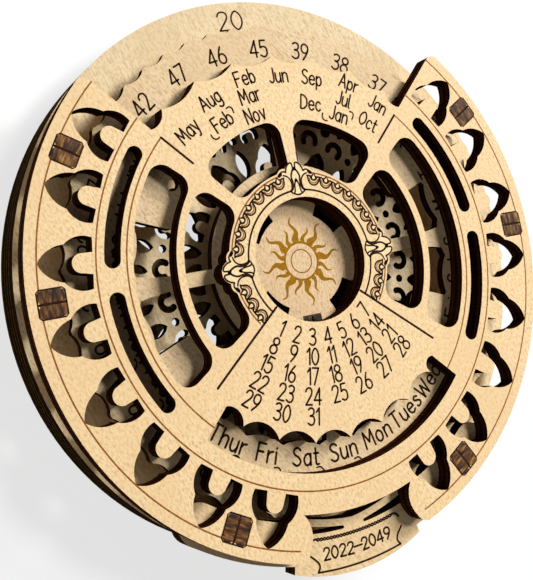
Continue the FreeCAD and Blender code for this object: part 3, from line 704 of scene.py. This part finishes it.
fleur_lines = [
    ([(0.38, 28.9), (0.42, 29.7), (0.5, 30.45), (0.95, 30.75), (1.75, 30.25), (2.45, 29.3),
      (2.95, 28.0)], 0.42),
    ([(2.95, 28.0), (3.5, 28.4), (4.25, 28.45), (4.9, 28.05), (5.3, 27.55)], 0.42),
    ([(4.7, 27.9), (5.1, 27.7), (5.5, 27.5)], 0.85),
    ([(4.05, 27.3), (2.95, 26.7), (2.1, 25.5), (1.95, 24.0), (2.35, 22.6), (3.2, 21.95)], 0.4),
    ([(0, 29.0), (0.65, 28.2), (1.3, 27.0), (1.5, 25.9), (1.35, 24.8), (1.5, 23.5), (2.0, 22.4),
      (2.9, 21.75)], 0.5),
    ([(0, 29.1), (0.4, 28.4)], 0.62),
    ([(0, 25.2), (0.5, 24.5), (0.85, 23.6), (1.05, 22.6), (1.25, 21.7), (1.7, 21.1)], 0.42),
    ([(0, 25.35), (0.3, 24.75)], 0.6),
    ([(3.2, 21.95), (2.5, 21.3), (1.5, 20.8), (0.7, 20.5), (0, 20.45)], 0.42)]
fleur_half = [(0, 30.6), (1.3, 30.35), (2.2, 29.5), (2.75, 28.5), (2.95, 27.95), (3.5, 28.25), (4.2, 28.35),
              (4.75, 28.0), (4.05, 27.4), (2.95, 26.75), (2.2, 25.6), (1.95, 24.0), (2.35, 22.7),
              (3.2, 21.95), (2.5, 21.35), (1.5, 20.85), (0, 20.5)]
fleur_bolder = 1.4
scallop_stroke = 0.6 * mm
scallop_inner_stroke = 0.38 * mm
join_radius = 26.45 * mm
join_stroke = 0.6 * mm
join_half_angle = 1.8
outer_circle_radius = 27.45 * mm
outer_circle_spans = [(12, 78), (102, 127)]
inner_circle_radius = 21.9 * mm
inner_circle_spans = [(7.6, 82.4), (97.6, 129.2)]
inner_circle_stroke = 0.65 * mm
# Lifts of the painted highlights over the face.
fleur_highlight_lift = 0.012 * mm
drop_lift = 0.05 * mm


def on_ring(points, angle, side=1):
    """Points given beside an angle of the ring and by radius, both in millimetres.
    The turn beside the angle is the first number divided by the garland's radius."""
    across, radius = np.array(points, float).T
    turn = math.radians(angle) + side * across / garland_radius
    return np.stack([np.sin(turn), np.cos(turn)], 1) * radius[:, None] * mm


def flat_patch(outline, floor, lift):
    """A thin plate with this closed outline, from a little under the plane to the
    lift over it."""
    outline = np.asarray(outline)
    rings = np.stack([np.column_stack([outline, np.full(len(outline), floor + rise)])
                      for rise in (-stroke_root, lift)])
    return skin(rings)


def garland(dark, brown, pale):
    """Scallops with their drops on both sides, the short arcs that join them, and the
    two long circles that run along the well and along the windows' edge. The pale list
    takes the drops, which are painted highlight."""
    for side in (1, -1):
        for angle in garland_angles:
            here = side * angle
            outer = on_ring(smooth_path(scallop_line)[0], here)
            inner = on_ring(smooth_path(scallop_inner)[0], here)
            dark.append(pen_line(outer, scallop_stroke, face_top))
            brown.append(pen_line(inner, scallop_inner_stroke, face_top))
            dark.append(flat_patch(on_ring(smooth_path(crescent)[0][:-1], here), face_top, stroke_lift))
            # The pale drop: painted highlight, in the face's birch made paler.
            pale.append(flat_patch(on_ring(smooth_path(drop)[0][:-1], here), face_top, drop_lift))
        spans = [(angle - join_half_angle, angle + join_half_angle) for angle in garland_joins] + garland_ends
        for start, end in spans:
            first, last = sorted((side * start, side * end))
            dark.append(ring_line(join_radius, join_stroke, face_top, first, last))
        for start, end in outer_circle_spans:
            first, last = sorted((side * start, side * end))
            brown.append(ring_line(outer_circle_radius, fine_line, face_top, first, last))
        for start, end in inner_circle_spans:
            first, last = sorted((side * start, side * end))
            dark.append(ring_line(inner_circle_radius, inner_circle_stroke, face_top, first, last))


def fleur(angle, dark, pale):
    """One fleur: a field of painted highlight mirrored about its angle, and its lines on both sides."""
    right = on_ring(smooth_path(fleur_half)[0], angle)
    left = on_ring(smooth_path(fleur_half)[0], angle, -1)
    # The pale field: painted highlight.
    pale.append(flat_patch(np.vstack([right, left[-2:0:-1]]), face_top, fleur_highlight_lift))
    for side in (1, -1):
        for points, width in fleur_lines:
            path = on_ring(smooth_path(points)[0], angle, side)
            dark.append(pen_line(path, width * fleur_bolder * mm, face_top))


dark_shells, brown_shells, highlight_shells = [], [], []
garland(dark_shells, brown_shells, highlight_shells)
for fleur_angle in fleur_angles:
    fleur(fleur_angle, dark_shells, highlight_shells)
piece_of("ornament_lines", dark_shells, dark_ink, "case")
piece_of("ornament_fine_lines", brown_shells, brown_ink, "case")
# The face's birch made paler, for the painted highlights of the drops and fleurs.
highlight_ply = birch_ply(
    "painted_highlight_birch", pale="F2DAAD", warm="EACB99", pore="D8B582", burnt="32190D", core="4E2C18",
    foot=24.4 * mm, grain=1.9, length=3)
piece_of("ornament_painted_highlights", highlight_shells, highlight_ply, "case")

# Posts and key. Each is two plies on edge; their ends come up through the face as a
# pair of blocks, browned by the laser, rounded a little at the corners and crowned,
# with a black line round and between them that is painted shade in the gaps there,
# over burnt walls. The key's end, at the foot of the well, is drawn near black:
# painted shade, with a pale tone of painted highlight.
post_nodes = [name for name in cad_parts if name.startswith(("post_", "hub_key_"))]
dress(post_nodes, birch_ply(
    "post_birch", pale="8A5F38", warm="6A4426", pore="3E2614", burnt="20140C", core="38281A",
    foot=0, grain=0.0, length=4))
post_angles = [60, 90, 150, -60, -90, -150]
tenon_radius = 83.1
tenon_half = 3.85
tenon_split = 0.32
outline_gap = 0.2
outline_corner = 0.7
gap_shade_stroke = 0.5 * mm
split_gap_shade_stroke = 0.7 * mm
key_radius = 19.5
key_block_half = (1.5, 2.15)
key_block_offset = 1.75
corner_power = 5
bar_stretch = 0.016
bar_places = (0.36, 0.47, 0.58, 0.70)
crown = [(1.0, -0.02), (1.0, 0.05), (0.94, 0.12), (0.80, 0.16), (0.4, 0.18)]


def crowned_block(radius, angle, across, half_across, half_along, floor):
    """Rounded block seen end on. Its outline is x = a cos(t) to the power 2/p and
    y = b sin(t) to the power 2/p, with signs kept, shrunk step by step to the crown."""
    t = np.linspace(0, 2 * math.pi, 40, endpoint=False)
    x = half_across * np.sign(np.cos(t)) * np.abs(np.cos(t)) ** (2 / corner_power)
    y = half_along * np.sign(np.sin(t)) * np.abs(np.sin(t)) ** (2 / corner_power)
    rings = []
    for share, rise in crown:
        place = beside(np.stack([across + x * share, radius + y * share], 1), 0, angle)
        rings.append(np.column_stack([place, np.full(len(t), floor + rise * mm)]))
    return skin(np.stack(rings))


def end_grain(name, tones):
    """Browned end grain: dark and tan bars across each block. They lie along circles
    round the calendar, so the noise is read at the radius and, drawn out, the turn."""
    material, tree, out = shader_tree(name)
    spot = part_in(tree, "ShaderNodeTexCoord").outputs["Object"]
    axes_of = part_in(tree, "ShaderNodeSeparateXYZ", {0: spot}).outputs
    radius = part_in(tree, "ShaderNodeVectorMath", {0: spot}, operation="LENGTH").outputs["Value"]
    turn = part_in(tree, "ShaderNodeMath", {0: axes_of[0], 1: axes_of[1]}, operation="ARCTAN2").outputs[0]
    drawn = part_in(tree, "ShaderNodeMath", {0: turn, 1: bar_stretch}, operation="MULTIPLY").outputs[0]
    place = part_in(tree, "ShaderNodeCombineXYZ", {0: radius, 1: drawn}).outputs[0]
    bars = part_in(tree, "ShaderNodeTexNoise", {"Vector": place, "Scale": 950.0, "Detail": 3.0,
                                                "Roughness": 0.6}).outputs["Fac"]
    surface = part_in(tree, "ShaderNodeBsdfPrincipled", {
        "Base Color": ramp(tree, bars, list(zip(bar_places, tones))),
        "Roughness": 0.6,
        "Specular IOR Level": 0.15,
        "Normal": part_in(tree, "ShaderNodeBump", {"Height": bars, "Strength": 0.5,
                                                   "Distance": 0.1 * mm}).outputs[0]})
    tree.links.new(surface.outputs[0], out.inputs["Surface"])
    return material


def tenon_ends():
    """Two blocks for each post, and the black line round them and between them: painted shade in the gaps,
    over burnt walls.
    """
    blocks, lines = [], []
    half = (tenon_half - tenon_split) / 2
    reach = tenon_half + outline_gap
    short = reach - outline_corner
    edge = [(-reach, -short), (-reach, short), (-short, reach), (short, reach),
            (reach, short), (reach, -short), (short, -reach), (-short, -reach)]
    for angle in post_angles:
        for side in (1, -1):
            blocks.append(crowned_block(tenon_radius, angle, side * (tenon_split + half), half, tenon_half,
                                        face_top))
        outline = beside([(x, tenon_radius + y) for x, y in edge], 0, angle)
        # Black line round the blocks: painted shade in the gap there, over burnt walls.
        lines.append(pen_line(outline, gap_shade_stroke, face_top, around=True))
        between = beside([(0, tenon_radius - tenon_half), (0, tenon_radius + tenon_half)], 0, angle)
        lines.append(pen_line(between, split_gap_shade_stroke, face_top))
    return blocks, lines


tenon_blocks, tenon_gap_shade_lines = tenon_ends()
key_blocks = [crowned_block(key_radius, 180, side * key_block_offset, *key_block_half, sun_top)
              for side in (1, -1)]
piece_of("tenon_ends", tenon_blocks, end_grain("browned_end_grain", ("180D06", "442812", "744C24", "A87E44")),
         "case")
# The key's end sits at the foot of the well: its near-black tones are painted shade, and its pale top tone a
# painted highlight.
piece_of("key_end", key_blocks, end_grain("end_grain_painted_shade", ("0C0704", "140C06", "2A1A0E", "A88C64")),
         "case")
piece_of("tenon_gaps_painted_shade", tenon_gap_shade_lines, dark_ink, "case")
